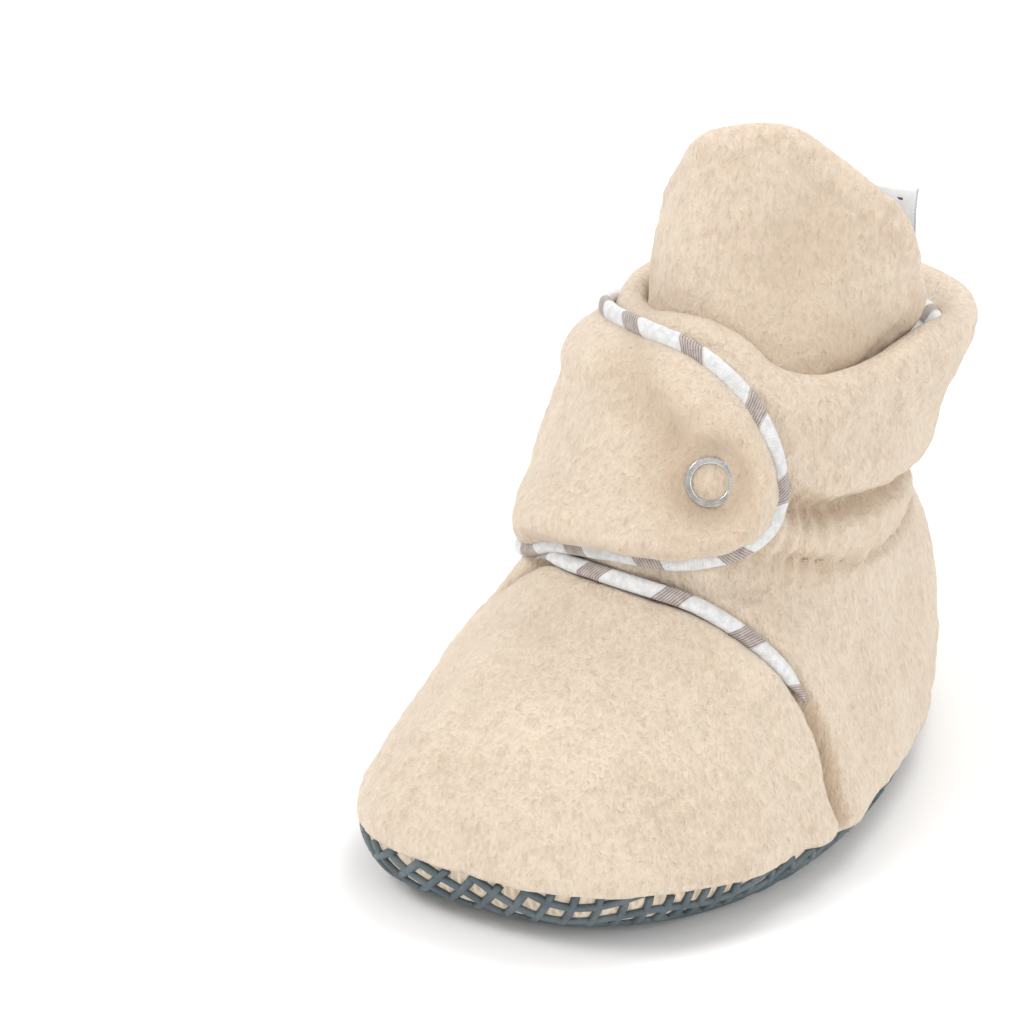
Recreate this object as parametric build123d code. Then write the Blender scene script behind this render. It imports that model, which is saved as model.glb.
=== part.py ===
from build123d import *
import math
import os

os.makedirs("parts", exist_ok=True)

# A soft plush ankle bootie for a baby. +Z is up, the toe points to -Y, the heel to +Y,
# and the closing strap snaps on the +X side. All sizes are in millimetres.

# ---- overall sizes ----
BOOT_LENGTH = 134.0       # plush toe to plush heel
BOOT_WIDTH = 76.0         # nominal width across the ball of the foot
COLLAR_HEIGHT = 82.0      # floor to the front of the collar rim
RIM_DROP = 6.0            # how much lower the rim is at the back
TONGUE_RISE = 31.0        # tongue tip above the front of the rim
TONGUE_FOLD = 5.0         # tongue fold line above the front of the rim
TONGUE_LEAN_BACK = 12.0   # degrees of free room behind the fold
TONGUE_WRAP = 30.0        # how far back the sides of the tongue reach at the rim

# ---- cloth and foam thicknesses ----
NET_THICKNESS = 1.0       # moulded rubber grip net
SOLE_CLOTH = 1.2          # cream cloth under the net
FOAM_THICKNESS = 4.0      # insole foam
INSOLE_CLOTH = 1.8        # plush cover of the foam
PLUSH = 2.6               # outer plush with its pile
LINING = 1.0              # striped cotton lining
TONGUE_PLUSH = 1.6        # each of the two plush layers of the tongue
CLEAR = 0.5               # gap between the tongue or the strap and the ankle

# ---- grip net ----
NET_PITCH = 7.0           # rib spacing
NET_RIB = 1.4             # rib width

# ---- ankle elastic ----
ELASTIC_WIDTH = 7.0
ELASTIC_THICKNESS = 0.8
ELASTIC_FRONT = 51.0      # height of its lower edge at the front of the ankle
ELASTIC_BACK = 41.0       # and at the back
ELASTIC_START = 12.0      # front of the ankle to the ends of the elastic

# ---- bindings ----
BINDING_WIDTH = 3.2
BINDING_THICKNESS = 0.9

# ---- strap ----
STRAP_PLUSH = 2.4
STRAP_LINING = 0.9
STRAP_TOP = 84.0          # upper corner of the strap at its fold
STRAP_BOTTOM = 52.5       # lower edge of the strap
STRAP_TIP = 10.4          # snap to the end of the tip
FLAP_EDGE = 13.0          # snap to the front edge of the under flap

# ---- ring snap ----
SNAP_AZIMUTH = 26.0       # direction that the snap faces, from -Y towards +X
SNAP_SIDE = 9.5           # snap from the middle of the ankle, towards the fold
SNAP_TILT = 22.0          # upward tilt of the snap, as the ankle leans back
SNAP_HEIGHT = 63.0
SNAP_RING_RADIUS = 4.0
SNAP_RING_HOLE = 2.9
SOCKET_RADIUS = 3.7
SOCKET_HOLE = 2.7
STUD_RADIUS = 1.8
STUD_FLANGE_RADIUS = 3.2
STUD_RISE = 1.1           # how far the stud head stands inside the socket
SNAP_METAL = 0.5
FLANGE_SINK = 0.15        # stud flange below the plush surface
SOCKET_ROOM = 0.5         # free room above the stud head
PATCH_RADIUS = 6.0        # woven reinforcement behind the snap parts
PATCH_THICKNESS = 0.5
PRONG_RADIUS = 0.3
PRONGS = 5

# ---- care label ----
LABEL_WIDTH = 9.0
LABEL_LENGTH = 10.0
LABEL_THICKNESS = 0.4
LABEL_X = 7.5
LABEL_GAP = 0.4           # label above the collar rim

SOLE_WRAP = NET_THICKNESS + SOLE_CLOTH + FOAM_THICKNESS + INSOLE_CLOTH
WALL = PLUSH + LINING
BIG = 400.0

# Horizontal sections of the outer surface, as shares of the three overall sizes: height of
# the section; sideways centre; front and back end; half width towards the front and the back;
# fullness of the toe end (1 is an ellipse, less is squarer); sideways turn of the toe.
SECTIONS = [
    (0.000, 0.000, -0.433, 0.388, 0.474, 0.355, 0.70, 0.105),
    (0.037, 0.000, -0.474, 0.433, 0.513, 0.388, 0.70, 0.105),
    (0.098, 0.000, -0.500, 0.463, 0.546, 0.428, 0.70, 0.105),
    (0.195, 0.000, -0.500, 0.485, 0.520, 0.434, 0.72, 0.105),
    (0.293, 0.000, -0.466, 0.493, 0.461, 0.421, 0.75, 0.092),
    (0.390, 0.000, -0.396, 0.478, 0.401, 0.401, 0.80, 0.066),
    (0.476, 0.007, -0.306, 0.425, 0.368, 0.375, 0.90, 0.039),
    (0.561, 0.013, -0.231, 0.351, 0.355, 0.362, 1.00, 0.013),
    (0.659, 0.026, -0.201, 0.366, 0.362, 0.375, 1.00, 0.000),
    (0.756, 0.046, -0.164, 0.403, 0.368, 0.382, 1.00, 0.000),
    (0.854, 0.066, -0.134, 0.440, 0.375, 0.388, 1.00, 0.000),
    (0.951, 0.083, -0.104, 0.466, 0.375, 0.388, 1.00, 0.000),
    (1.040, 0.092, -0.087, 0.470, 0.375, 0.388, 1.00, 0.000),
]
HEEL_FULLNESS = 0.15
OUTLINE_POINTS = 18

# The tongue goes on above the rim: share of its rise, then the same six values.
TONGUE_SECTIONS = [
    (0.32, 0.099, -0.067, 0.463, 0.362, 0.375, 1.00, 0.000),
    (0.71, 0.112, -0.037, 0.455, 0.342, 0.355, 1.00, 0.000),
    (1.15, 0.125, -0.007, 0.448, 0.303, 0.316, 1.00, 0.000),
]
TONGUE_FIRST = 7          # the section of the boot that the tongue starts from


def outline(centre, front, back, half_front, half_back, fullness, turn, inset, count=OUTLINE_POINTS):
    """Points of one horizontal section, moved inwards by inset."""
    centre, turn = centre * BOOT_WIDTH, turn * BOOT_WIDTH
    front, back = front * BOOT_LENGTH + inset, back * BOOT_LENGTH - inset
    half_front = half_front * BOOT_WIDTH - inset
    half_back = half_back * BOOT_WIDTH - inset
    points = []
    for i in range(count):
        angle = 2 * math.pi * i / count
        along, aside = math.cos(angle), math.sin(angle)
        power = fullness if along > 0 else min(1.0, fullness + HEEL_FULLNESS)
        half = (half_front + half_back) / 2 + (half_front - half_back) / 2 * along
        x = centre + math.copysign(abs(aside) ** power, aside) * half - turn * max(along, 0.0) ** 2
        y = (front + back) / 2 - (back - front) / 2 * along
        points.append((x, y))
    return points


def loft_through(sections, inset):
    """A closed volume through sections given as (height in mm, shares...)."""
    wires = []
    for height, *shares in sections:
        points = [Vector(x, y, height) for x, y in outline(*shares, inset)]
        wires.append(Wire([Edge.make_spline(points, periodic=True)]))
    return Solid.make_loft(wires)


def boot_volume(inset):
    """The whole boot as one closed volume, its walls moved inwards by inset."""
    return loft_through([(s[0] * COLLAR_HEIGHT, *s[1:]) for s in SECTIONS], inset)


def shares_at(height):
    """The section shares at any height, between the given sections."""
    share = height / COLLAR_HEIGHT
    for low, high in zip(SECTIONS, SECTIONS[1:]):
        if share <= high[0]:
            t = (share - low[0]) / (high[0] - low[0])
            return [a + (b - a) * t for a, b in zip(low[1:], high[1:])]
    return SECTIONS[-1][1:]


def front_at(height, inset=0.0):
    """Y of the front of the ankle at a height."""
    return shares_at(height)[1] * BOOT_LENGTH + inset


def back_at(height, inset=0.0):
    """Y of the back of the ankle at a height."""
    return shares_at(height)[2] * BOOT_LENGTH - inset


def ankle_centre(height):
    """Centre of the ankle section at a height."""
    shares = shares_at(height)
    return Vector(shares[0] * BOOT_WIDTH, (shares[1] + shares[2]) / 2 * BOOT_LENGTH, height)


def slab(low, high):
    """Everything between two heights."""
    return Pos(0, 0, (low + high) / 2) * Box(BIG, BIG, high - low)


def side_prism(points):
    """A closed outline in the Y-Z plane, extruded right across the boot."""
    face = make_face(Polyline(*[(0, y, z) for y, z in points], close=True))
    return extrude(face, BIG / 2, dir=(1, 0, 0), both=True)


def half_space(origin, normal):
    """The space on the side of a plane that its normal points to."""
    return Plane(origin=origin, z_dir=normal) * Pos(0, 0, BIG / 4) * Box(BIG, BIG, BIG / 2)


def surface_point(volume, start, direction):
    """Where a ray from inside leaves a volume."""
    ray = Edge.make_line(start, start + direction * BIG / 2)
    ends = [end for edge in volume.intersect(ray) for end in (edge @ 0, edge @ 1)]
    return max(ends, key=lambda end: (end - start).dot(direction))


# ---- nested volumes ----
outer = boot_volume(0)
under_net = boot_volume(NET_THICKNESS)
under_sole_cloth = boot_volume(NET_THICKNESS + SOLE_CLOTH)
under_plush = boot_volume(PLUSH)
inside = boot_volume(WALL)

# the rim is a plane that drops towards the back
rim_front = front_at(COLLAR_HEIGHT)
rim_back = back_at(COLLAR_HEIGHT)
RIM_SLOPE = RIM_DROP / (rim_back - rim_front)


def rim_height(y):
    """Height of the rim plane at a place along the boot."""
    return COLLAR_HEIGHT - RIM_SLOPE * (y - rim_front)


def below_rim(lower=0.0):
    """The space under the slanted rim, optionally moved down."""
    far = BIG / 4
    return side_prism([(-far, -far), (far, -far), (far, rim_height(far) - lower),
                       (-far, rim_height(-far) - lower)])


# ---- sole ----
net_cup = (outer & slab(0, SOLE_WRAP)) - (under_net & slab(NET_THICKNESS, SOLE_WRAP + 1))


def floor_ring(inset):
    """Outline of the flat underside, moved inwards by inset."""
    points = [Vector(x, y, 0) for x, y in outline(*SECTIONS[0][1:], inset)]
    return Wire([Edge.make_spline(points, periodic=True)])


def net_openings():
    """Diamond openings of the net, in a staggered grid."""
    reach = (NET_PITCH / math.sqrt(2) - NET_RIB) / math.sqrt(2)
    area = Face(floor_ring(NET_RIB + NET_PITCH / 2))
    corners = [Vector(reach, 0), Vector(0, reach), Vector(-reach, 0), Vector(0, -reach)]
    rows = int(BOOT_LENGTH / NET_PITCH)
    columns = int(BOOT_WIDTH / NET_PITCH)
    grid = [(row, column) for row in range(-rows, rows + 1) for column in range(-columns, columns + 1)]
    centres = [Vector(c * NET_PITCH / 2, r * NET_PITCH / 2) for r, c in grid if (r + c) % 2 == 0]
    return [Wire.make_polygon([centre + corner for corner in corners])
            for centre in centres if area.is_inside(centre)]


# the net is a flat lattice and the rim that turns up around it, which meet edge to edge
lattice = Solid.extrude(Face(floor_ring(NET_RIB), net_openings()), Vector(0, 0, NET_THICKNESS))
lattice_space = Solid.extrude(Face(floor_ring(NET_RIB)), Vector(0, 0, NET_THICKNESS))
net_rim = net_cup - lattice_space
grip_net = Compound([*net_rim.solids(), lattice])

outer_sole = (under_net & slab(NET_THICKNESS, SOLE_WRAP)) - (
    under_sole_cloth & slab(NET_THICKNESS + SOLE_CLOTH, SOLE_WRAP + 1))
foam_low = NET_THICKNESS + SOLE_CLOTH
insole_foam = under_sole_cloth & slab(foam_low, foam_low + FOAM_THICKNESS)
insole_cover = under_sole_cloth & slab(foam_low + FOAM_THICKNESS, SOLE_WRAP)

# ---- upper: the vamp in front of the throat seam, the heel quarter behind it ----
THROAT_LIP = 0.580        # top of the throat seam, as a share of the collar height
THROAT = [
    (-0.172, SOLE_WRAP / COLLAR_HEIGHT),
    (-0.166, 0.200),
    (-0.152, 0.293),
    (-0.153, 0.390),
    (-0.177, 0.488),
    (-0.202, 0.549),
    (-0.245, THROAT_LIP),
]


def throat_region(shift):
    """The space in front of the throat seam, moved towards the heel by shift."""
    points = [(y * BOOT_LENGTH + shift, z * COLLAR_HEIGHT + shift / 2) for y, z in THROAT]
    far = BIG / 3
    (first_y, first_z), (last_y, last_z) = points[0], points[-1]
    edges = [
        Spline(*[(0, y, z) for y, z in points]),
        Line((0, last_y, last_z), (0, -far, last_z + 3)),
        Line((0, -far, last_z + 3), (0, -far, -far)),
        Line((0, -far, -far), (0, first_y, -far)),
        Line((0, first_y, -far), (0, first_y, first_z)),
    ]
    return extrude(make_face(edges), BIG / 2, dir=(1, 0, 0), both=True)


vamp_space = throat_region(0)
under_rim = below_rim()
upper_slab = slab(SOLE_WRAP, BIG / 3)
plush_shell = (outer - under_plush) & upper_slab & under_rim
lining_shell = (under_plush - inside) & upper_slab & under_rim
vamp = plush_shell & vamp_space
vamp_lining = lining_shell & vamp_space
quarter_shell = plush_shell - vamp_space
quarter_lining_shell = lining_shell - vamp_space

# ---- snap frame: x across the strap towards its tip, z outwards ----
azimuth = math.radians(SNAP_AZIMUTH)
tilt = math.radians(SNAP_TILT)
across = Vector(math.cos(azimuth), math.sin(azimuth), 0)
facing = Vector(math.sin(azimuth), -math.cos(azimuth), 0)
snap_normal = facing * math.cos(tilt) + Vector(0, 0, 1) * math.sin(tilt)
level_point = surface_point(outer, ankle_centre(SNAP_HEIGHT) - across * SNAP_SIDE, facing)
snap_seat = surface_point(outer, level_point - snap_normal * PLUSH, snap_normal)
snap_plane = Plane(origin=snap_seat, x_dir=across, z_dir=snap_normal)
snap_s = snap_seat.dot(across)


def disc(radius, low, high, bore=0.0):
    """A disc or ring on the snap axis, between two distances from the ankle surface."""
    body = Cylinder(radius, high - low, align=(Align.CENTER, Align.CENTER, Align.MIN))
    if bore:
        body -= Cylinder(bore, high - low, align=(Align.CENTER, Align.CENTER, Align.MIN))
    return snap_plane * Pos(0, 0, low) * body


def prongs(low, high):
    """The prongs that go through the cloth."""
    spacing = (SNAP_RING_RADIUS + SNAP_RING_HOLE) / 2
    pin = Cylinder(PRONG_RADIUS, high - low, align=(Align.CENTER, Align.CENTER, Align.MIN))
    return [snap_plane * Rot(0, 0, 360 * i / PRONGS) * Pos(spacing, 0, low) * pin for i in range(PRONGS)]


# the lean of the ankle makes level wall thicknesses thinner along the snap axis
lean = math.cos(tilt)
strap_in = CLEAR * lean
strap_mid = (CLEAR + STRAP_LINING) * lean
strap_out = (CLEAR + STRAP_LINING + STRAP_PLUSH) * lean

# stud half, through the under flap of the quarter
flange_low = -SNAP_METAL - FLANGE_SINK
stud_flange = disc(STUD_FLANGE_RADIUS, flange_low, -FLANGE_SINK)
stud_neck = disc(STUD_RADIUS, -FLANGE_SINK, strap_in + STUD_RISE)
stud_head = stud_neck.edges().filter_by(GeomType.CIRCLE).sort_by(Axis(snap_seat, snap_normal))[-1]
snap_stud = stud_flange + fillet(stud_head, STUD_RADIUS * 0.4)
back_low = -WALL * lean
back_ring = disc(SNAP_RING_RADIUS, back_low, back_low + SNAP_METAL, SNAP_RING_HOLE)
snap_back_ring = back_ring + prongs(back_low + SNAP_METAL / 2, flange_low)
patch_low = -PLUSH * lean
stud_reinforcement = disc(PATCH_RADIUS, patch_low, patch_low + PATCH_THICKNESS) - snap_back_ring

# socket half, in the strap
socket_top = strap_in + STUD_RISE + SOCKET_ROOM + SNAP_METAL
snap_socket = disc(SOCKET_RADIUS, strap_in, socket_top) - disc(
    SOCKET_HOLE, strap_in - 1, socket_top - SNAP_METAL)
front_low = strap_out - SNAP_METAL / 2
front_ring = disc(SNAP_RING_RADIUS, front_low, front_low + 2 * SNAP_METAL, SNAP_RING_HOLE)
ring_rims = front_ring.edges().filter_by(GeomType.CIRCLE).group_by(Axis(snap_seat, snap_normal))[-1]
snap_ring = fillet(ring_rims, SNAP_METAL / 2) + prongs(socket_top, strap_out)
strap_reinforcement = disc(PATCH_RADIUS, strap_mid, strap_mid + PATCH_THICKNESS) - disc(
    SOCKET_RADIUS, strap_in - 1, socket_top)

# ---- strap: a shell that follows the ankle, cut to its outline seen along the snap ----
STRAP_OUT = CLEAR + STRAP_LINING + STRAP_PLUSH
strap_inner = boot_volume(-CLEAR)
strap_middle = boot_volume(-CLEAR - STRAP_LINING)
strap_outer = boot_volume(-STRAP_OUT)


def fold_point(height):
    """The far front corner of the strap at a height, on its outer surface."""
    points = [Vector(x, y, height) for x, y in outline(*shares_at(height), -STRAP_OUT, 360)]
    return min(points, key=lambda point: point.dot(across))


fold_low = fold_point(STRAP_BOTTOM)
fold_high = fold_point(STRAP_TOP)
fold_axis = (fold_high - fold_low).normalized()
fold_facing = fold_axis.cross(across).normalized()
if fold_facing.dot(facing) < 0:
    fold_facing = fold_facing * -1
in_front_of_fold = half_space(fold_low, fold_facing)


def strap_space(margin):
    """The outline of the strap, moved inwards by margin and pushed through its front."""
    tip = snap_s + STRAP_TIP - margin
    low = STRAP_BOTTOM + margin
    high = STRAP_TOP - margin
    far = -BIG / 8
    edges = [
        Line((far, low), (snap_s - 2, low)),
        Spline((snap_s - 2, low), (snap_s + 0.80 * STRAP_TIP, low + 4.5 - margin * 0.3),
               (tip, SNAP_HEIGHT - 1), (snap_s + 0.90 * STRAP_TIP - margin, SNAP_HEIGHT + 4),
               (snap_s + 0.46 * STRAP_TIP - margin * 0.7, high - 7.6),
               (snap_s - 0.30 * STRAP_TIP, high - 1.2), (snap_s - 1.2 * STRAP_TIP, high),
               tangents=[(1, 0), (-1, 0)]),
        Line((snap_s - 1.2 * STRAP_TIP, high), (far, high)),
        Line((far, high), (far, low)),
    ]
    plane = Plane(origin=(0, 0, 0), x_dir=across, z_dir=facing)
    return extrude(plane * make_face(edges), BIG / 2, dir=tuple(facing)) & in_front_of_fold


strap_whole = strap_space(0)
strap_inset = strap_space(BINDING_THICKNESS * 2)
strap_binding = ((strap_outer - strap_inner) & strap_whole) - strap_inset
socket_space = disc(SOCKET_RADIUS, strap_in - 1, socket_top)
closure_strap = ((strap_outer - strap_middle) & strap_inset) - strap_reinforcement - socket_space - snap_ring
strap_lining = ((strap_middle - strap_inner) & strap_inset) - strap_reinforcement - socket_space

# ---- quarter: open at the front between the fold and the under flap ----
flap_s = snap_s - FLAP_EDGE
notch_low = THROAT_LIP * COLLAR_HEIGHT + BINDING_WIDTH / 2
notch = half_space(across * flap_s, across * -1) & in_front_of_fold & slab(notch_low, BIG / 3)
elastic_span = BOOT_LENGTH * 0.6


def elastic_band(lower, upper):
    """The slanted band that the ankle elastic lies in."""
    front, back = front_at(ELASTIC_FRONT), back_at(ELASTIC_BACK)
    slope = (ELASTIC_BACK - ELASTIC_FRONT) / (back - front)
    start, end = front + ELASTIC_START, back + elastic_span
    rise = [(start, ELASTIC_FRONT + slope * (start - front)), (end, ELASTIC_FRONT + slope * (end - front))]
    return side_prism([(rise[0][0], rise[0][1] + lower), (rise[1][0], rise[1][1] + lower),
                       (rise[1][0], rise[1][1] + upper), (rise[0][0], rise[0][1] + upper)])


elastic_outer = boot_volume(PLUSH - ELASTIC_THICKNESS)
ankle_elastic = ((elastic_outer - under_plush) & elastic_band(0, ELASTIC_WIDTH)) - vamp_space
heel_quarter = quarter_shell - notch - ankle_elastic - disc(
    STUD_FLANGE_RADIUS, flange_low, strap_in) - stud_reinforcement - snap_back_ring
quarter_lining = quarter_lining_shell - notch - snap_back_ring - stud_reinforcement

# ---- bindings of the quarter ----
inside_binding = boot_volume(WALL + BINDING_THICKNESS)
binding_start = front_at(COLLAR_HEIGHT) + TONGUE_WRAP + WALL
behind_tongue = Pos(0, binding_start + BIG / 4, 0) * Box(BIG, BIG / 2, BIG)
collar_binding = ((inside - inside_binding) & under_rim & behind_tongue) - below_rim(BINDING_WIDTH)
on_surface = boot_volume(-BINDING_THICKNESS) - outer
binding_low = THROAT[3][1] * COLLAR_HEIGHT
front_edge_binding = ((on_surface & throat_region(BINDING_WIDTH / 2)) - throat_region(-BINDING_WIDTH / 2)) & slab(
    binding_low, notch_low)

# ---- tongue: a curved leaf inside the front of the ankle, rising above the rim ----
TONGUE_INSET = WALL + BINDING_THICKNESS + CLEAR
fold_height = COLLAR_HEIGHT + TONGUE_FOLD


def tongue_volume(inset):
    """The ankle space that the tongue wraps, carried on above the rim."""
    lower = [(s[0] * COLLAR_HEIGHT, *s[1:]) for s in SECTIONS[TONGUE_FIRST - 1:-1]]
    upper = [(COLLAR_HEIGHT + s[0] * TONGUE_RISE, *s[1:]) for s in TONGUE_SECTIONS]
    return loft_through(lower + upper, TONGUE_INSET + inset)


tongue_low = THROAT_LIP * COLLAR_HEIGHT - 3
tongue_tip = COLLAR_HEIGHT + TONGUE_RISE
tongue_front = front_at(COLLAR_HEIGHT, TONGUE_INSET)
fold_y = tongue_front + TONGUE_FOLD * 0.4
tongue_profile = side_prism([
    (-BIG / 4, tongue_low), (tongue_front + 0.3 * TONGUE_WRAP, tongue_low),
    (rim_front + TONGUE_WRAP, COLLAR_HEIGHT + TONGUE_FOLD), (rim_front + TONGUE_WRAP, COLLAR_HEIGHT + 8),
    (tongue_front + 6, tongue_tip + 4), (-BIG / 4, tongue_tip + 4),
]) & slab(tongue_low, tongue_tip)
back_slope = math.tan(math.radians(TONGUE_LEAN_BACK))
base_space = side_prism([
    (-BIG / 4, 0), (BIG / 4, 0), (BIG / 4, fold_height - CLEAR - back_slope * (BIG / 4 - fold_y)),
    (fold_y, fold_height - CLEAR), (-BIG / 4, fold_height - CLEAR),
])
leaf_space = slab(fold_height, BIG / 2)
tongue_outside = tongue_volume(0)
tongue_between = tongue_volume(TONGUE_PLUSH)
tongue_inside = tongue_volume(2 * TONGUE_PLUSH)
front_leaf = (tongue_outside - tongue_between) & tongue_profile
back_leaf = (tongue_between - tongue_inside) & tongue_profile
tongue_base = front_leaf & base_space
tongue_base_lining = back_leaf & base_space
tongue_outer = front_leaf & leaf_space
tongue_lining = back_leaf & leaf_space

# ---- care label, standing on the back of the rim ----
label_y = back_at(COLLAR_HEIGHT, WALL / 2)
label_low = rim_height(label_y) + LABEL_GAP
care_label = Pos(LABEL_X, label_y, label_low) * Box(
    LABEL_WIDTH, LABEL_THICKNESS, LABEL_LENGTH, align=(Align.CENTER, Align.CENTER, Align.MIN))

NODES = {
    "grip_net": grip_net,
    "outer_sole": outer_sole,
    "insole_foam": insole_foam,
    "insole_cover": insole_cover,
    "vamp": vamp,
    "vamp_lining": vamp_lining,
    "heel_quarter": heel_quarter,
    "quarter_lining": quarter_lining,
    "ankle_elastic": ankle_elastic,
    "collar_binding": collar_binding,
    "front_edge_binding": front_edge_binding,
    "stud_reinforcement": stud_reinforcement,
    "snap_stud": snap_stud,
    "snap_back_ring": snap_back_ring,
    "tongue_base": tongue_base,
    "tongue_base_lining": tongue_base_lining,
    "closure_strap": closure_strap,
    "strap_lining": strap_lining,
    "strap_binding": strap_binding,
    "strap_reinforcement": strap_reinforcement,
    "snap_ring": snap_ring,
    "snap_socket": snap_socket,
    "tongue_outer": tongue_outer,
    "tongue_lining": tongue_lining,
    "care_label": care_label,
}

# the origin is under the middle of the boot's box
boxes = [shape.bounding_box() for shape in NODES.values()]
middle_x = (min(b.min.X for b in boxes) + max(b.max.X for b in boxes)) / 2
middle_y = (min(b.min.Y for b in boxes) + max(b.max.Y for b in boxes)) / 2
to_origin = Vector(-middle_x, -middle_y, 0)
for name, shape in NODES.items():
    moved = Pos(*to_origin) * shape
    export_step(Compound(moved.solids()), f"parts/{name}.step")

print("moved by", to_origin)
print("strap fold", fold_low + to_origin, "axis", fold_axis)
print("tongue fold", Vector(0, fold_y, fold_height) + to_origin)
print("label seam", Vector(LABEL_X, label_y, label_low) + to_origin)
print("snap seat", snap_seat + to_origin, "normal", snap_normal)
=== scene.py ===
import bpy
import bmesh
import math
import numpy as np
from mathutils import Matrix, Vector, noise


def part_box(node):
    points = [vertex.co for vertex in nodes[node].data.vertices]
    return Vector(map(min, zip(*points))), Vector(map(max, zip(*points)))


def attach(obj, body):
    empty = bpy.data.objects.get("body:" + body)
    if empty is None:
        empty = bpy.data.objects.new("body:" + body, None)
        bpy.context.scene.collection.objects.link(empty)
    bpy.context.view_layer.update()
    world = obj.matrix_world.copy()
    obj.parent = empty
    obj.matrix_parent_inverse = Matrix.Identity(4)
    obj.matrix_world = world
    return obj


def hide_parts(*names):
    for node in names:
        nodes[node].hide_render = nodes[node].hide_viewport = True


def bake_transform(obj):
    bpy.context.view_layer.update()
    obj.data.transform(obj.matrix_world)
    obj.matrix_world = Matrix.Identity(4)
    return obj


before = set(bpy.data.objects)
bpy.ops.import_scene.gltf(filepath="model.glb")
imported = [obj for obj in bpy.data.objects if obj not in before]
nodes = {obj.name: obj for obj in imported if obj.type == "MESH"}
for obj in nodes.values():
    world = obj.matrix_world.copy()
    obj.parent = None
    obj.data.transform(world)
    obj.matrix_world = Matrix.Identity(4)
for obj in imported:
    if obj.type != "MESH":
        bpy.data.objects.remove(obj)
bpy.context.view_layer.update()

# A soft plush baby bootie. All shape values here are in millimetres, in the CAD frame;
# meshes are written in metres. The toe points to -Y and the snap faces +X.
MM = 0.001
SHIFT = np.array([0.256, 0.917, 0.0])  # moves the tables below to the middle of the CAD box
ROLL = 2.7               # radius of the rolled plush edge of the collar
ROLL_TAIL = 9            # how far the plush goes down inside the collar
SEAM_DEPTH = 2.3         # furrow of the toe seam
CREASE_DEPTH = 3.0       # furrow of the crease at the waist
CASING_DEPTH = 1.0       # furrow of the stitched line of the casing
SOLE_SEAM_DEPTH = 2.2    # furrow where the plush meets the sole
LINING_LOW = 9           # height at which the lining starts
LINING_INSET = 6.4       # from the outside of the boot to the lining
INSOLE_INSET = 6.2
INSOLE_AT = 9.4          # height at which the insole's outline is read from the walls
INSOLE_CREST, INSOLE_FALL = 10.4, 2.2  # height of its middle, and how much lower its edge is
QUILT = 11               # spacing of the insole's diagonal quilting
STRAP_GAP = 0.9          # air between the ankle and the strap
STRAP_THICK = 4.7
STRAP_ROUND = 3.6        # width of the rounded edge of the strap
ROOT_SINK = 3.4          # how deep the root of the strap is sunk into the quarter
ROOT_FROM, ROOT_TO = 55, 74  # degrees to the far side over which the root sinks
TONGUE_FOOT = 50         # height at which the tongue starts, inside the boot
TONGUE_HALF = 2.1        # half the thickness of the tongue
TONGUE_ROUND = 2.6       # width of the rounded edge of the tongue
RIB_WIDTH = 0.74         # half the width of a rib of the net, at its foot
RIB_RISE = 0.85          # height of a rib above the sole cloth
NET_PITCH = 3.8          # from rib to rib
NET_TURN = 34            # degrees that the net is turned from the length of the boot
NET_STEP = 0.9           # from point to point along a rib
SOLE_TOP = 0.8           # cream cloth of the sole, above the floor
COLUMNS, ROWS = 560, 168  # columns round the boot, and rows up its outside

# height, sideways centre, front end, back end, half width front, half width back,
# fullness of the toe, sideways turn of the toe
SECTIONS = np.array([
    (0.0, 0.0, -58.0, 52.0, 36.0, 27.0, 0.70, 8.0),
    (3.0, 0.0, -63.5, 58.0, 39.0, 29.5, 0.70, 8.0),
    (8.0, 0.0, -67.2, 62.0, 41.5, 32.5, 0.70, 8.0),
    (16.0, 0.0, -67.0, 65.0, 39.5, 33.0, 0.72, 8.0),
    (24.0, 0.0, -62.6, 66.0, 35.0, 32.0, 0.75, 7.0),
    (32.0, 0.0, -53.1, 64.0, 30.5, 30.5, 0.80, 5.0),
    (39.0, 0.5, -41.0, 57.0, 28.0, 28.5, 0.90, 3.0),
    (46.0, 1.0, -31.0, 47.2, 27.0, 27.5, 1.00, 1.0),
    (54.0, 2.0, -27.0, 49.0, 27.5, 28.5, 1.00, 0.0),
    (62.0, 3.5, -22.0, 54.0, 28.0, 29.0, 1.00, 0.0),
    (70.0, 5.0, -18.0, 59.0, 28.5, 29.5, 1.00, 0.0),
    (78.0, 6.3, -14.0, 62.5, 28.5, 29.5, 1.00, 0.0),
    (86.0, 7.0, -11.5, 63.2, 28.8, 29.8, 1.00, 0.0),
])
# direction round the boot in degrees (0 is the toe, 90 the snap side), then heights
RIM = np.array([(-180, 74), (-135, 76.5), (-95, 79.5), (-60, 81), (-35, 82.5), (-18, 84.5),
                (0, 84.6), (12, 82.4), (21, 79.4), (39, 77), (52, 77.4), (73, 79.8),
                (91, 79.2), (115, 76.6), (140, 75), (180, 74)], float)
BORDER = np.array([(-180, 3), (-110, 4), (-70, 6), (-40, 8.5), (0, 10), (30, 9), (60, 7),
                   (90, 5), (120, 3.6), (180, 3)], float)
CREASE = np.array([(-180, 50), (-120, 52), (-88, 54), (-58, 56), (-42, 58.5), (0, 60),
                   (42, 59), (58, 56), (69, 55), (88, 54), (120, 52), (180, 50)], float)
CASING = np.array([(-180, 38), (-130, 40), (-90, 43), (-63, 47.3), (-39, 51), (0, 53),
                   (39, 51.4), (63, 47.3), (85, 43.4), (96, 42.5), (130, 40), (180, 38)], float)
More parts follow.
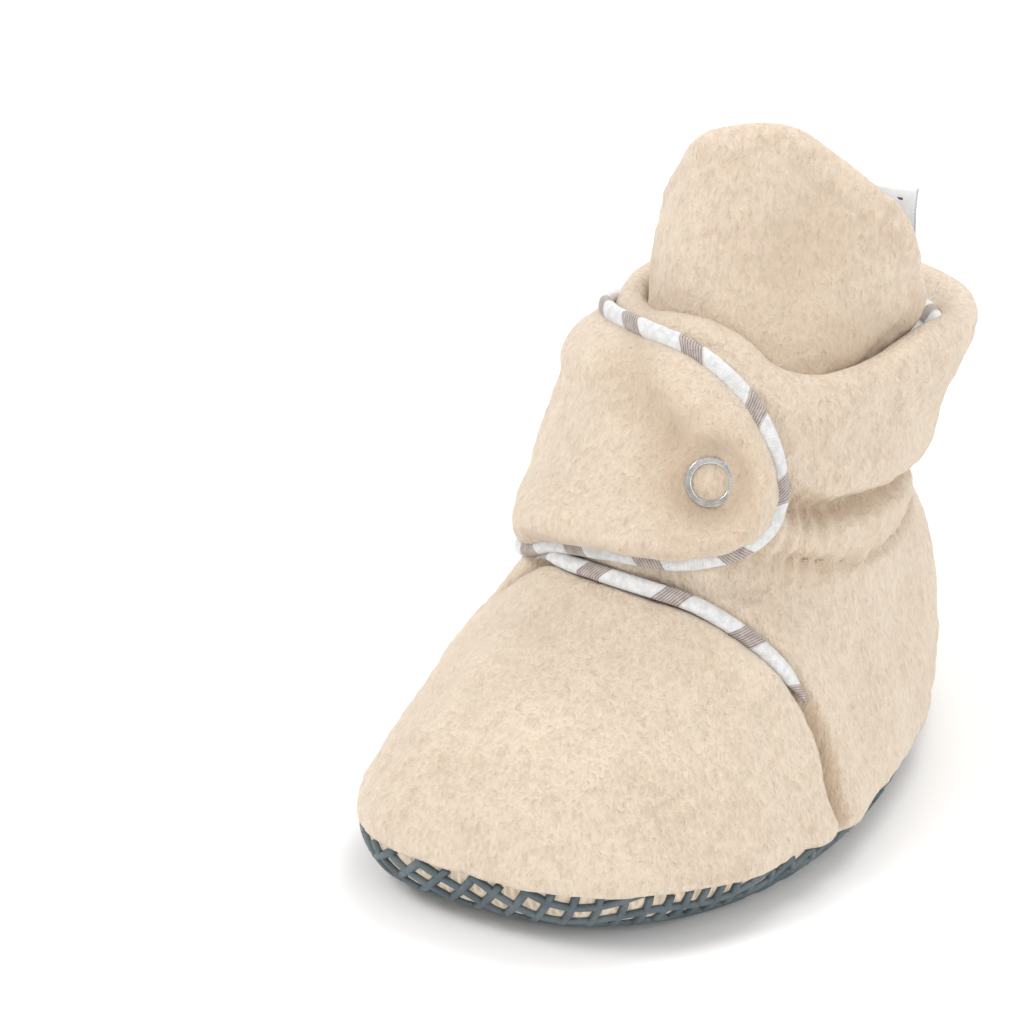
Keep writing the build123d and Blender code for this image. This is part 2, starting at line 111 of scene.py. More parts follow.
# the seam of the toe piece, from the far side over the instep to the near side
SEAM = np.array([(-36.5, -20, 9), (-37, -21, 14), (-33, -20.5, 22), (-27.5, -20, 31),
                 (-20.5, -22.5, 40), (-15.9, -24.5, 45.1), (-7.6, -28.5, 47.2), (0.3, -30, 47.5),
                 (7, -29.3, 46.7), (13.1, -27.2, 44.9), (19.7, -24.2, 40.3), (26.2, -20.7, 31.7),
                 (30.7, -20.3, 23.7), (34.4, -22.3, 16.5), (37.5, -23.1, 9.0)]) + SHIFT
STRAP_TOP = np.array([(-24.5, 12, 77.0), (-21.5, 4, 78.8), (-15.3, -5, 80.8), (-5.3, -12.5, 82.4),
                      (5.1, -15.9, 81.6), (15.1, -16.5, 75.6), (20.9, -17.2, 66.9),
                      (22.4, -17.7, 61.2)]) + SHIFT
STRAP_LOW = np.array([(-28.5, -4, 44.0), (-26.5, -12, 43.6), (-21.5, -22.7, 45.2),
                      (-15.6, -26.8, 49), (-2.7, -31.2, 52.3), (13.4, -28.3, 52.9),
                      (18.4, -24.2, 54.1), (21.6, -20.1, 56.9), (22.4, -17.7, 61.2)]) + SHIFT
# height, sideways centre, front, half width, half depth of the middle of the tongue
TONGUE = np.array([(50, 1.5, -20.5, 19.5, 31), (60, 3.3, -16, 20, 31), (70, 5, -11.5, 20.5, 31),
                   (78, 6.3, -7.5, 21, 31), (84, 6.7, -5.5, 22.2, 31), (90, 6.9, -4, 22.2, 29.6),
                   (97.5, 7.6, -2, 21.2, 27.6), (107, 8.8, 1, 19.4, 24.6),
                   (114, 9.5, 3.3, 17.8, 22.4), (118, 9.8, 4.5, 17.2, 21)])
# degrees round the tongue, then the height of its top edge
TONGUE_TOP = np.array([(-82, 84), (-73, 92), (-60, 100.5), (-45, 107.2), (-30, 111.4),
                       (-15, 114.0), (0, 115.0), (15, 114.2), (31, 111.6), (45, 108.0),
                       (55, 104.4), (67, 98.8), (75, 92), (82, 84)], float)


def smooth_at(knots, values, at):
    """A smooth curve through the values, read at any places."""
    knots, values, at = np.asarray(knots, float), np.asarray(values, float), np.asarray(at, float)
    slope = np.gradient(values, knots, axis=0)
    i = np.clip(np.searchsorted(knots, at) - 1, 0, len(knots) - 2)
    span = knots[i + 1] - knots[i]
    t = np.clip((at - knots[i]) / span, 0, 1)
    if values.ndim > 1:
        span, t = span[..., None], t[..., None]
    return ((2 * t**3 - 3 * t**2 + 1) * values[i] + (t**3 - 2 * t**2 + t) * span * slope[i]
            + (3 * t**2 - 2 * t**3) * values[i + 1] + (t**3 - t**2) * span * slope[i + 1])


def around(table, theta):
    """The height that a table gives in a direction round the boot."""
    return smooth_at(table[:, 0], table[:, 1], np.degrees(theta))


def body(theta, z, inset=0.0):
    """Points of the outside of the boot, moved inwards by inset."""
    theta, z, inset = np.broadcast_arrays(np.asarray(theta, float), z, inset)
    s = smooth_at(SECTIONS[:, 0], SECTIONS[:, 1:], z)
    xc, yf, yb, wf, wb, full, turn = [s[..., k] for k in range(7)]
    along, aside = np.cos(theta), np.sin(theta)
    full = np.where(along > 0, full, np.minimum(1.0, full + 0.15 * np.clip(-along * 4, 0, 1)))
    half = (wf + wb) / 2 + (wf - wb) / 2 * along - inset
    x = xc + np.sign(aside) * np.abs(aside) ** full * half - turn * np.maximum(along, 0) ** 2
    y = (yf + yb) / 2 - ((yb - yf) / 2 - inset) * along
    return np.stack([x + SHIFT[0], y + SHIFT[1], z], -1)


def direction(points, grow=0.0):
    """The direction round the boot of points on its outside, grown by grow."""
    s = smooth_at(SECTIONS[:, 0], SECTIONS[:, 1:], points[:, 2])
    half = (s[:, 3] + s[:, 4]) / 2 + grow
    aside = (points[:, 0] - SHIFT[0] - s[:, 0]) / half
    along = ((s[:, 1] + s[:, 2]) / 2 - (points[:, 1] - SHIFT[1])) / ((s[:, 2] - s[:, 1]) / 2 + grow)
    return np.arctan2(aside, along)


def grid_normals(grid, wrap):
    """Unit normals of a grid of points, rows by columns."""
    if wrap:
        d1 = np.roll(grid, -1, 1) - np.roll(grid, 1, 1)
    else:
        d1 = np.gradient(grid, axis=1)
    n = np.cross(d1, np.gradient(grid, axis=0))
    return n / np.maximum(np.linalg.norm(n, axis=-1, keepdims=True), 1e-9)


def resample(points, count):
    """Evenly spaced points along a smooth curve through the given ones."""
    points = np.asarray(points, float)
    steps = np.r_[0, np.cumsum(np.linalg.norm(np.diff(points, axis=0), axis=1))]
    fine = smooth_at(steps, points, np.linspace(0, steps[-1], count * 6))
    run = np.r_[0, np.cumsum(np.linalg.norm(np.diff(fine, axis=0), axis=1))]
    at = np.linspace(0, run[-1], count)
    return np.stack([np.interp(at, run, fine[:, k]) for k in range(fine.shape[1])], -1)


def distance(points, line):
    """Distance of every point from a line of closely spaced points."""
    flat = points.reshape(-1, points.shape[-1])
    out = np.empty(len(flat))
    for i in range(0, len(flat), 20000):
        part = flat[i:i + 20000]
        gap = (part**2).sum(1)[:, None] + (line**2).sum(1)[None] - 2 * part @ line.T
        out[i:i + 20000] = np.sqrt(np.maximum(gap.min(1), 0))
    return out.reshape(points.shape[:-1])


def bump(gap, width):
    """A soft hump: 1 at the middle, falling away over width."""
    return np.exp(-(gap / width) ** 2)


def ease(value, low, high):
    """A soft step from 0 at low to 1 at high."""
    t = np.clip((value - low) / (high - low), 0, 1)
    return t * t * (3 - 2 * t)


def pillow(gap, width):
    """The rounded edge of a padded piece: 0 on its outline, 1 from width inwards."""
    return np.sqrt(np.clip(1 - (1 - np.clip(gap / width, 0, 1)) ** 2, 0, 1))


def lumps(points, amounts):
    """Soft unevenness: a sum of noise of several sizes, given as (size, height)."""
    flat = points.reshape(-1, 3)
    out = np.zeros(len(flat))
    for k, (size, height) in enumerate(amounts):
        scaled = flat / size + 11.3 * k
        out += height * np.fromiter((noise.noise(Vector(p)) for p in scaled), float, len(flat))
    return out.reshape(points.shape[:-1])


PLUSH_LUMPS = ((24, 1.2), (9, 0.6), (3.6, 0.34), (1.8, 0.2))


def grid_faces(rows, columns, wrap=False, start=0):
    """Four-sided faces of a grid of points, numbered from start."""
    last = columns if wrap else columns - 1
    r, c = np.meshgrid(np.arange(rows - 1), np.arange(last), indexing="ij")
    n = (c + 1) % columns
    quads = np.stack([r * columns + c, r * columns + n, (r + 1) * columns + n,
                      (r + 1) * columns + c], -1)
    return quads.reshape(-1, 4) + start


def dish_faces(rows, columns):
    """Faces of rings of points from the middle outwards, with the middle closed."""
    return list(grid_faces(rows, columns, True)) + [tuple(range(columns))]


def closed_pad(front, back):
    """Points and faces of two grids of the same size, joined round their edge."""
    rows, columns = front.shape[:2]
    count = rows * columns
    faces = list(grid_faces(rows, columns))
    faces += [face[::-1] for face in grid_faces(rows, columns, start=count)]
    loop_ids = ([r * columns for r in range(rows)]
                + [(rows - 1) * columns + c for c in range(1, columns)]
                + [r * columns + columns - 1 for r in range(rows - 2, -1, -1)]
                + list(range(columns - 2, 0, -1)))
    faces += [(a, b, b + count, a + count) for a, b in zip(loop_ids, loop_ids[1:] + loop_ids[:1])]
    return np.concatenate([front.reshape(-1, 3), back.reshape(-1, 3)]), faces


def make(name, points, faces, material, body_name=None, marks=None, tidy=True):
    """A smooth mesh piece from points in millimetres, riding on a body."""
    mesh = bpy.data.meshes.new(name)
    points = np.asarray(points, float).reshape(-1, 3) * MM
    faces = [tuple(int(i) for i in f) for f in faces]
    mesh.from_pydata(points.tolist(), [], faces)
    for key, values in (marks or {}).items():
        attribute = mesh.attributes.new(key, "FLOAT", "POINT")
        attribute.data.foreach_set("value", np.asarray(values, np.float32).ravel())
    if tidy:
        bm = bmesh.new()
        bm.from_mesh(mesh)
        loose = [v for v in bm.verts if not v.link_faces]
        bmesh.ops.delete(bm, geom=loose, context="VERTS")
        bmesh.ops.recalc_face_normals(bm, faces=bm.faces)
        bm.to_mesh(mesh)
        bm.free()
    mesh.polygons.foreach_set("use_smooth", [True] * len(mesh.polygons))
    mesh.materials.append(material)
    piece = bpy.data.objects.new(name, mesh)
    bpy.context.scene.collection.objects.link(piece)
    if body_name:
        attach(piece, body_name)
    return piece


def tube(centres, wide, high, half_wide, half_high, sides=10, power=0.75, closed=False):
    """Points, faces, along and across of a flattened band that follows a line."""
    angle = np.arange(sides) * 2 * math.pi / sides
    a = np.sign(np.cos(angle)) * np.abs(np.cos(angle)) ** power
    b = np.sign(np.sin(angle)) * np.abs(np.sin(angle)) ** power
    hw = np.broadcast_to(half_wide, len(centres))[:, None, None]
    hh = np.broadcast_to(half_high, len(centres))[:, None, None]
    ring = (centres[:, None] + wide[:, None] * hw * a[None, :, None]
            + high[:, None] * hh * b[None, :, None])
    faces = list(grid_faces(len(centres), sides, True))
    run = np.r_[0, np.cumsum(np.linalg.norm(np.diff(centres, axis=0), axis=1))]
    if closed:
        top = (len(centres) - 1) * sides
        faces += [(top + i, top + (i + 1) % sides, (i + 1) % sides, i) for i in range(sides)]
    else:
        faces += [tuple(range(sides)),
                  tuple(range(len(ring) * sides - 1, (len(ring) - 1) * sides - 1, -1))]
    along = np.repeat(run, sides)
    across = (a[None] * hw[:, :, 0]).ravel()
    return ring.reshape(-1, 3), faces, along, across


def frames_on(line, normals):
    """Unit sideways and upright directions of a line that lies on a surface."""
    forward = np.gradient(line, axis=0)
    forward /= np.linalg.norm(forward, axis=1, keepdims=True)
    side = np.cross(forward, normals)
    side /= np.linalg.norm(side, axis=1, keepdims=True)
    return side, np.cross(side, forward)


def body_normal(theta, z):
    """Outward unit normals of the outside of the boot."""
    d = 0.01
    around_it = body(theta + d, z) - body(theta - d, z)
    up = body(theta, z + 0.3) - body(theta, z - 0.3)
    n = np.cross(around_it, up)
    return n / np.linalg.norm(n, axis=-1, keepdims=True)


# ---------------- materials ----------------
PAINTED_CREASE_SHADE = (0.53, 0.395, 0.275, 1)  # painted shade: the plush's colour down in a crease
STRIPE_REPEAT = 13.6     # millimetres from one group of taupe threads to the next
STRIPE_SHARE = 0.36      # of that, the part that the group takes up
STRIPE_THREAD = 0.5      # from thread to thread in a group
WEAVE_RUN, WEAVE_SIDE = 0.46, 0.55  # rib weave of the cotton, along and across


class Nodes:
    """A small helper that adds shader nodes and links them."""

    def __init__(self, name):
        self.material = bpy.data.materials.new(name)
        self.material.use_nodes = True
        self.tree = self.material.node_tree
        self.shader = self.tree.nodes["Principled BSDF"]
        self.place = self.add("ShaderNodeTexCoord").outputs["Object"]

    def add(self, kind, **settings):
        node = self.tree.nodes.new(kind)
        for key, value in settings.items():
            setattr(node, key, value)
        return node

    def put(self, socket, value):
        if isinstance(value, bpy.types.NodeSocket):
            self.tree.links.new(value, socket)
        else:
            socket.default_value = value

    def noise(self, scale, detail=3.0, rough=0.55, stretch=None, turn=(0, 0, 0), source=None):
        node = self.add("ShaderNodeTexNoise")
        place = source or self.place
        if stretch:
            mapping = self.add("ShaderNodeMapping")
            self.put(mapping.inputs["Vector"], place)
            mapping.inputs["Scale"].default_value = stretch
            mapping.inputs["Rotation"].default_value = turn
            place = mapping.outputs["Vector"]
        self.put(node.inputs["Vector"], place)
        node.inputs["Scale"].default_value = scale
        node.inputs["Detail"].default_value = detail
        node.inputs["Roughness"].default_value = rough
        return node.outputs["Fac"]

    def math(self, operation, a, b=0.0, c=0.0):
        node = self.add("ShaderNodeMath", operation=operation)
        for socket, value in zip(node.inputs, (a, b, c)):
            self.put(socket, value)
        return node.outputs[0]

    def remap(self, value, low, high, to_low=0.0, to_high=1.0):
        node = self.add("ShaderNodeMapRange", interpolation_type="SMOOTHSTEP")
        for socket, item in zip(node.inputs, (value, low, high, to_low, to_high)):
            self.put(socket, item)
        return node.outputs[0]

    def mix(self, share, a, b):
        node = self.add("ShaderNodeMix", data_type="RGBA")
        self.put(node.inputs[0], share)
        self.put(node.inputs[6], a)
        self.put(node.inputs[7], b)
        return node.outputs[2]

    def bump(self, height, distance, strength=1.0, under=None):
        node = self.add("ShaderNodeBump")
        node.inputs["Strength"].default_value = strength
        node.inputs["Distance"].default_value = distance
        self.put(node.inputs["Height"], height)
        if under:
            self.put(node.inputs["Normal"], under)
        return node.outputs["Normal"]

    def attribute(self, name):
        return self.add("ShaderNodeAttribute", attribute_name=name).outputs["Fac"]

    def done(self, colour, roughness, normal=None, **values):
        self.put(self.shader.inputs["Base Color"], colour)
        self.put(self.shader.inputs["Roughness"], roughness)
        if normal:
            self.put(self.shader.inputs["Normal"], normal)
        for key, value in values.items():
            self.shader.inputs[key.replace("_", " ")].default_value = value
        return self.material


def fleece_material(name, light, deep, pile=0.0011):
    """Short brushed pile: strokes that lie downwards, soft tufts and warm mottling, with painted shade
    pulled towards a darker crease colour where the deep mark is set.
    """
    n = Nodes(name)
    strokes = n.noise(1350, 4, 0.62, stretch=(1, 1, 0.45), turn=(0.25, 0.35, 0))
    tufts = n.noise(470, 3, 0.62, stretch=(1, 1, 0.7), turn=(0.2, -0.3, 0))
    clouds = n.noise(60, 3, 0.6)
    fibres = n.noise(2300, 2, 0.6, stretch=(1, 1, 0.5))
    shade = n.math("ADD", n.math("MULTIPLY", strokes, 0.5), n.math("MULTIPLY", tufts, 0.3))
    shade = n.math("ADD", shade, n.math("MULTIPLY", clouds, 0.25))
    share = n.remap(shade, 0.36, 0.66)
    colour = n.mix(share, deep, light)
    # painted shade: the deep mark darkens the plush in furrows, hollows and dips
    shaded = n.math("MULTIPLY", n.attribute("deep"), n.remap(tufts, 0.25, 0.7, 0.75, 1.0))
    colour = n.mix(shaded, colour, PAINTED_CREASE_SHADE)
    normal = n.bump(strokes, pile, 0.7)
    normal = n.bump(tufts, pile * 1.8, 0.5, normal)
    normal = n.bump(fibres, pile * 0.35, 0.5, normal)
    return n.done(colour, n.remap(fibres, 0.3, 0.7, 0.86, 1.0), normal, Sheen_Weight=0.3,
                  Sheen_Roughness=0.6, Sheen_Tint=(1.0, 0.93, 0.84, 1), Specular_IOR_Level=0.1,
                  Subsurface_Weight=0.3, Subsurface_Radius=(1.0, 0.7, 0.45), Subsurface_Scale=0.003)


def cotton_material(name, by_line):
    """White cotton with groups of fine taupe threads, and a fine rib weave."""
    n = Nodes(name)
    if by_line:
        run = n.math("ADD", n.attribute("along"), n.math("MULTIPLY", n.attribute("across"), 0.7))
        side = n.attribute("across")
    else:
        split = n.add("ShaderNodeSeparateXYZ")
        n.put(split.inputs[0], n.place)
        slant = n.math("MULTIPLY", split.outputs[0], 0.3)
        run = n.math("MULTIPLY", n.math("ADD", split.outputs[1], slant), 1000.0)
        side = n.math("MULTIPLY", split.outputs[2], 1000.0)
    wobble = n.math("MULTIPLY", n.noise(140, 2), 1.1)
    run = n.math("ADD", run, wobble)
    repeat = n.math("FRACT", n.math("DIVIDE", run, STRIPE_REPEAT))
    band = n.math("MULTIPLY", n.remap(repeat, 0.0, 0.03),
                  n.remap(repeat, STRIPE_SHARE, STRIPE_SHARE - 0.03, 0.0, 1.0))
    thread = n.math("SINE", n.math("MULTIPLY", run, 2 * math.pi / STRIPE_THREAD))
    band = n.math("MULTIPLY", band, n.remap(thread, -0.8, 0.4, 0.5, 1.0))
    weave = n.math("MULTIPLY", n.math("SINE", n.math("MULTIPLY", run, 2 * math.pi / WEAVE_RUN)),
                   n.math("SINE", n.math("MULTIPLY", side, 2 * math.pi / WEAVE_SIDE)))
    speckle = n.noise(900, 3)
    white = n.mix(n.remap(speckle, 0.3, 0.7), (0.66, 0.665, 0.665, 1), (0.80, 0.81, 0.815, 1))
    taupe = n.mix(n.remap(speckle, 0.3, 0.7), (0.27, 0.20, 0.175, 1), (0.39, 0.31, 0.28, 1))
    normal = n.bump(weave, 0.00007, 0.8)
    normal = n.bump(n.noise(300, 2), 0.0004, 0.5, normal)
    return n.done(n.mix(band, white, taupe), n.remap(speckle, 0.3, 0.7, 0.72, 0.9), normal,
                  Specular_IOR_Level=0.25, Sheen_Weight=0.1)


def rubber_material():
    """Moulded slate rubber with a fine frosted skin and dusty wear on the ridges."""
    n = Nodes("grip_rubber")
    cloud, grain = n.noise(160, 3), n.noise(2400, 2)
    colour = n.mix(n.remap(cloud, 0.35, 0.68), (0.070, 0.097, 0.110, 1), (0.118, 0.150, 0.164, 1))
    colour = n.mix(n.remap(grain, 0.52, 0.75, 0.0, 0.35), colour, (0.20, 0.235, 0.248, 1))
    normal = n.bump(grain, 0.00012, 0.6)
    normal = n.bump(n.noise(420, 2), 0.0003, 0.4, normal)
    return n.done(colour, n.remap(grain, 0.3, 0.7, 0.42, 0.62), normal, Specular_IOR_Level=0.45)


def cloth_material(name, light, deep, count=1500.0):
    """Plain woven cloth: crossing threads with slight slubs."""
    n = Nodes(name)
    warp = n.add("ShaderNodeTexWave", wave_type="BANDS", bands_direction="X")
    weft = n.add("ShaderNodeTexWave", wave_type="BANDS", bands_direction="Y")
    for wave in (warp, weft):
        n.put(wave.inputs["Vector"], n.place)
        wave.inputs["Scale"].default_value = count / 6.28
        wave.inputs["Distortion"].default_value = 0.6
    threads = n.math("MAXIMUM", warp.outputs["Fac"], weft.outputs["Fac"])
    slub = n.noise(260, 3)
    share = n.math("MULTIPLY", n.remap(slub, 0.3, 0.7, 0.6, 1.0), threads)
    normal = n.bump(threads, 0.00012, 0.8)
    normal = n.bump(slub, 0.0004, 0.5, normal)
    return n.done(n.mix(share, deep, light), 0.9, normal, Specular_IOR_Level=0.15, Sheen_Weight=0.15)


def metal_material():
    """Bright nickel with fine drawn scratches and a little darkening."""
    n = Nodes("snap_steel")
    scratch = n.noise(700, 4, 0.7, stretch=(1, 1, 8))
    cloud = n.noise(300, 3)
    colour = n.mix(n.remap(cloud, 0.3, 0.75), (0.42, 0.41, 0.39, 1), (0.72, 0.71, 0.69, 1))
    return n.done(colour, n.remap(scratch, 0.3, 0.7, 0.12, 0.3), n.bump(scratch, 0.00002, 0.5),
                  Metallic=1.0)


def satin_material():
    """White satin with a fine diagonal rib."""
    n = Nodes("satin_label")
    wave = n.add("ShaderNodeTexWave", wave_type="BANDS", bands_direction="DIAGONAL")
    n.put(wave.inputs["Vector"], n.place)
    wave.inputs["Scale"].default_value = 900
    slub = n.noise(220, 3)
    colour = n.mix(n.remap(slub, 0.3, 0.7), (0.74, 0.76, 0.77, 1), (0.88, 0.89, 0.90, 1))
    return n.done(colour, n.remap(slub, 0.3, 0.7, 0.3, 0.45), n.bump(wave.outputs["Fac"], 0.00005, 0.7),
                  Sheen_Weight=0.3, Specular_IOR_Level=0.5)


def foam_material():
    """Open cell foam."""
    n = Nodes("foam")
    cells = n.add("ShaderNodeTexVoronoi")
    n.put(cells.inputs["Vector"], n.place)
    cells.inputs["Scale"].default_value = 1400
    colour = n.mix(n.remap(cells.outputs["Distance"], 0.1, 0.6),
                   (0.55, 0.53, 0.47, 1), (0.8, 0.78, 0.7, 1))
    return n.done(colour, 0.95, n.bump(cells.outputs["Distance"], 0.0003, 0.8))


CREAM, CREAM_DEEP = (0.765, 0.650, 0.525, 1), (0.630, 0.510, 0.392, 1)
plush = fleece_material("plush_fleece", CREAM, CREAM_DEEP)
insole_plush = fleece_material("insole_fleece", (0.72, 0.61, 0.49, 1), (0.58, 0.46, 0.345, 1), 0.0008)
cotton_band = cotton_material("striped_binding", True)
cotton_sheet = cotton_material("striped_cotton", False)
rubber = rubber_material()
sole_cloth = cloth_material("sole_cloth", (0.80, 0.69, 0.55, 1), (0.52, 0.41, 0.30, 1))
interfacing = cloth_material("interfacing", (0.78, 0.77, 0.74, 1), (0.55, 0.54, 0.52, 1), 2200.0)
steel = metal_material()
satin = satin_material()
foam = foam_material()
thread = cloth_material("stitch_thread", (0.70, 0.56, 0.42, 1), (0.42, 0.31, 0.22, 1), 4000.0)
ink = cloth_material("label_ink", (0.16, 0.17, 0.18, 1), (0.07, 0.07, 0.08, 1), 4000.0)

# CAD nodes that stay in view, or behind the pieces below
for node_name, material in {
        "insole_foam": foam, "strap_reinforcement": interfacing,
        "stud_reinforcement": interfacing, "snap_ring": steel, "snap_socket": steel,
        "snap_stud": steel, "snap_back_ring": steel}.items():
    data = nodes[node_name].data
    data.materials.clear()
    data.materials.append(material)

# ---------------- the outside of the boot ----------------
share = np.linspace(-1, 1, COLUMNS, endpoint=False)
theta = np.sign(share) * np.abs(share) ** 1.3 * math.pi
rim, border = around(RIM, theta), around(BORDER, theta)
levels, insets = [], []
for f in np.linspace(0, 1, ROWS):
    levels.append(border + (rim - ROLL - border) * f)
    insets.append(np.zeros(COLUMNS))
for angle in np.linspace(0, math.pi, 14)[1:]:
    levels.append(rim - ROLL + ROLL * math.sin(angle))
    insets.append(np.full(COLUMNS, ROLL * (1 - math.cos(angle))))
for drop in np.linspace(0, ROLL_TAIL, 12)[1:]:
    levels.append(rim - ROLL - drop)
    insets.append(np.full(COLUMNS, 2 * ROLL))
levels, insets = np.array(levels), np.array(insets)
directions = np.broadcast_to(theta, levels.shape)
shell = body(directions, levels, insets)
out = grid_normals(shell, True)
outside = np.arange(len(levels))[:, None] < ROWS
outside = np.broadcast_to(outside, levels.shape)

seam_line = resample(SEAM, 240)
seam_dir = direction(seam_line)
seam_line = body(seam_dir, seam_line[:, 2])
seam_gap = distance(shell, seam_line)
crease_gap = levels - around(CREASE, directions)
casing_gap = levels - around(CASING, directions)
low_gap = levels - border
# each seam is a furrow with swells beside it; hold softens them over the toe
push = -SEAM_DEPTH * bump(seam_gap, 1.15) + 1.1 * bump(seam_gap - 4.5, 3.6)
hold = 0.55 + 0.45 * ease(np.abs(np.degrees(directions)), 20, 60)
push += hold * (-CREASE_DEPTH * bump(crease_gap, 1.7) + 1.5 * bump(crease_gap - 5.5, 3.8)
                + 1.5 * bump(crease_gap + 5, 3.4))
gathers = np.sin(directions * 46 + 2.5 * np.sin(directions * 7) + levels * 0.12)
push += hold * (-CASING_DEPTH * bump(casing_gap, 1.3) + 0.45 * gathers * bump(casing_gap - 1.5, 4.5)
                + 0.3 * gathers * bump(crease_gap + 1, 3.5))
push += -SOLE_SEAM_DEPTH * bump(low_gap, 0.9) + 0.7 * bump(low_gap - 3.5, 3.0)
push += 0.8 * bump(levels - rim + 5, 4.0)
push = np.where(outside, push, 0.35 * bump(levels - rim, 3.0))
push += lumps(shell, PLUSH_LUMPS) * np.where(low_gap < 1, 0.4, 1.0) * np.where(outside, 1.0, 0.3)
shell = shell + out * push[..., None]

quads = grid_faces(len(levels), COLUMNS, True)
order = np.argsort(seam_dir)
seam_z = np.interp(theta, seam_dir[order], seam_line[order, 2], left=-1, right=-1)
# how deep in a furrow each point lies, for the painted shade of the plush in its furrows, less on its
# swells
painted_shade_shell = (0.6 * bump(seam_gap, 1.6)
              + hold * (0.6 * bump(crease_gap, 2.2) + 0.35 * bump(casing_gap, 2.0))
              + 0.3 * bump(low_gap, 1.4)) * outside
painted_shade_shell = np.clip(painted_shade_shell - 0.22 * push / 1.5, 0, 0.8)
toe = (levels < seam_z[None]) & outside
toe_faces = toe.ravel()[quads].sum(1) >= 3
vamp_piece = make("vamp_plush", shell, quads[toe_faces], plush, "boot", {"deep": painted_shade_shell})
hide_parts("vamp", "vamp_lining")
quarter_piece = make("heel_quarter_plush", shell, quads[~toe_faces], plush, "boot",
                     {"deep": painted_shade_shell})
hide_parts("heel_quarter", "ankle_elastic")

# ---------------- lining and insole ----------------
inner_rows = []
for f in np.linspace(0, 1, 60):
    inner_rows.append(body(theta[::2], LINING_LOW + (rim[::2] - ROLL - 2.5 - LINING_LOW) * f,
                           LINING_INSET))
lining_grid = np.array(inner_rows)
unevenness = lumps(lining_grid, ((18, 0.7), (5, 0.25)))
lining_grid += grid_normals(lining_grid, True) * unevenness[..., None]
lining_piece = make("cotton_lining", lining_grid, grid_faces(len(inner_rows), COLUMNS // 2, True),
                    cotton_sheet, "boot")
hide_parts("quarter_lining")

edge = body(theta[::2], INSOLE_AT, INSOLE_INSET)
middle = np.array([SHIFT[0] - 2.0, SHIFT[1] - 2.0, INSOLE_AT])
insole_rows = []
for f in np.linspace(0.02, 1, 56):
    ring = middle + (edge - middle) * f
    ring[:, 2] = INSOLE_CREST - INSOLE_FALL * f**6
    insole_rows.append(ring)
for drop in (8.4, 7.0, 6.2):
    ring = edge.copy()
    ring[:, 2] = drop
    insole_rows.append(ring)
insole_grid = np.array(insole_rows)
quilt = np.abs(np.sin((insole_grid[..., 0] + insole_grid[..., 1]) / QUILT * math.pi)) ** 0.5
quilt *= np.abs(np.sin((insole_grid[..., 0] - insole_grid[..., 1]) / QUILT * math.pi)) ** 0.5
insole_grid[..., 2] += (lumps(insole_grid, ((9, 0.4), (2.4, 0.3)))
                        + 0.9 * quilt * (insole_grid[..., 2] > 8))
insole_faces = dish_faces(len(insole_rows), COLUMNS // 2)
insole_piece = make("insole_plush", insole_grid, insole_faces, insole_plush, "boot")
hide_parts("insole_cover")

# ---------------- sole and grip net ----------------
ground = body(theta, 0.0)
heart = np.array([SHIFT[0] - 1.0, SHIFT[1] - 3.0])
bearing = np.unwrap(np.arctan2(ground[:, 0] - heart[0], -(ground[:, 1] - heart[1])))
reach = np.hypot(ground[:, 0] - heart[0], ground[:, 1] - heart[1])
climb = np.linspace(0, 1, 24)


def side_heights(direction_now):
    """Height of points that climb the side of the sole, and how far they have climbed."""
    top = around(BORDER, direction_now) + 1.2
    heights = top[..., None] * climb
    points = body(direction_now[..., None], heights)
    steps = np.linalg.norm(np.diff(points, axis=-2), axis=-1)
    return heights, np.concatenate([np.zeros(steps.shape[:-1] + (1,)), np.cumsum(steps, -1)], -1)


rise_table, run_table = side_heights(theta)


def on_sole(u, v, sink):
    """Points on the underside and the turned up side of the sole, sunk into it by sink."""
    azimuth = np.arctan2(u - heart[0], -(v - heart[1]))
    far = np.hypot(u - heart[0], v - heart[1])
    start = np.interp(azimuth, bearing, reach, period=2 * math.pi)
    way = np.interp(azimuth, bearing, theta, period=2 * math.pi)
    index = np.clip(np.searchsorted(theta, way), 0, COLUMNS - 1)
    over = far - start
    height = np.array([np.interp(o, run_table[i], rise_table[i]) if o > 0 else 0.0
                       for o, i in zip(over.ravel(), index.ravel())]).reshape(over.shape)
    kept = over <= run_table[index, -1]
    climbed = body(way, height, sink * ease(height, 0, 3))
    flat = np.stack([u, v, np.zeros_like(u)], -1)
    point = np.where((over > 0)[..., None], climbed, flat)
    point[..., 2] += sink * (1 - ease(height, 0, 5))
    return point, kept


cloth_rows = []
for f in np.linspace(0.02, 1, 40):
    ring = np.c_[heart + (ground[::2, :2] - heart) * f, np.full(COLUMNS // 2, SOLE_TOP)]
    cloth_rows.append(ring)
for f in climb[1:]:
    height = rise_table[::2, -1] * f
    ring = body(theta[::2], height, SOLE_TOP * ease(height, 0, 3))
    ring[:, 2] += SOLE_TOP * (1 - ease(height, 0, 5))
    cloth_rows.append(ring)
cloth_grid = np.array(cloth_rows)
sole_piece = make("sole_cloth", cloth_grid, dish_faces(len(cloth_rows), COLUMNS // 2),
                  sole_cloth, "boot")
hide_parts("outer_sole")

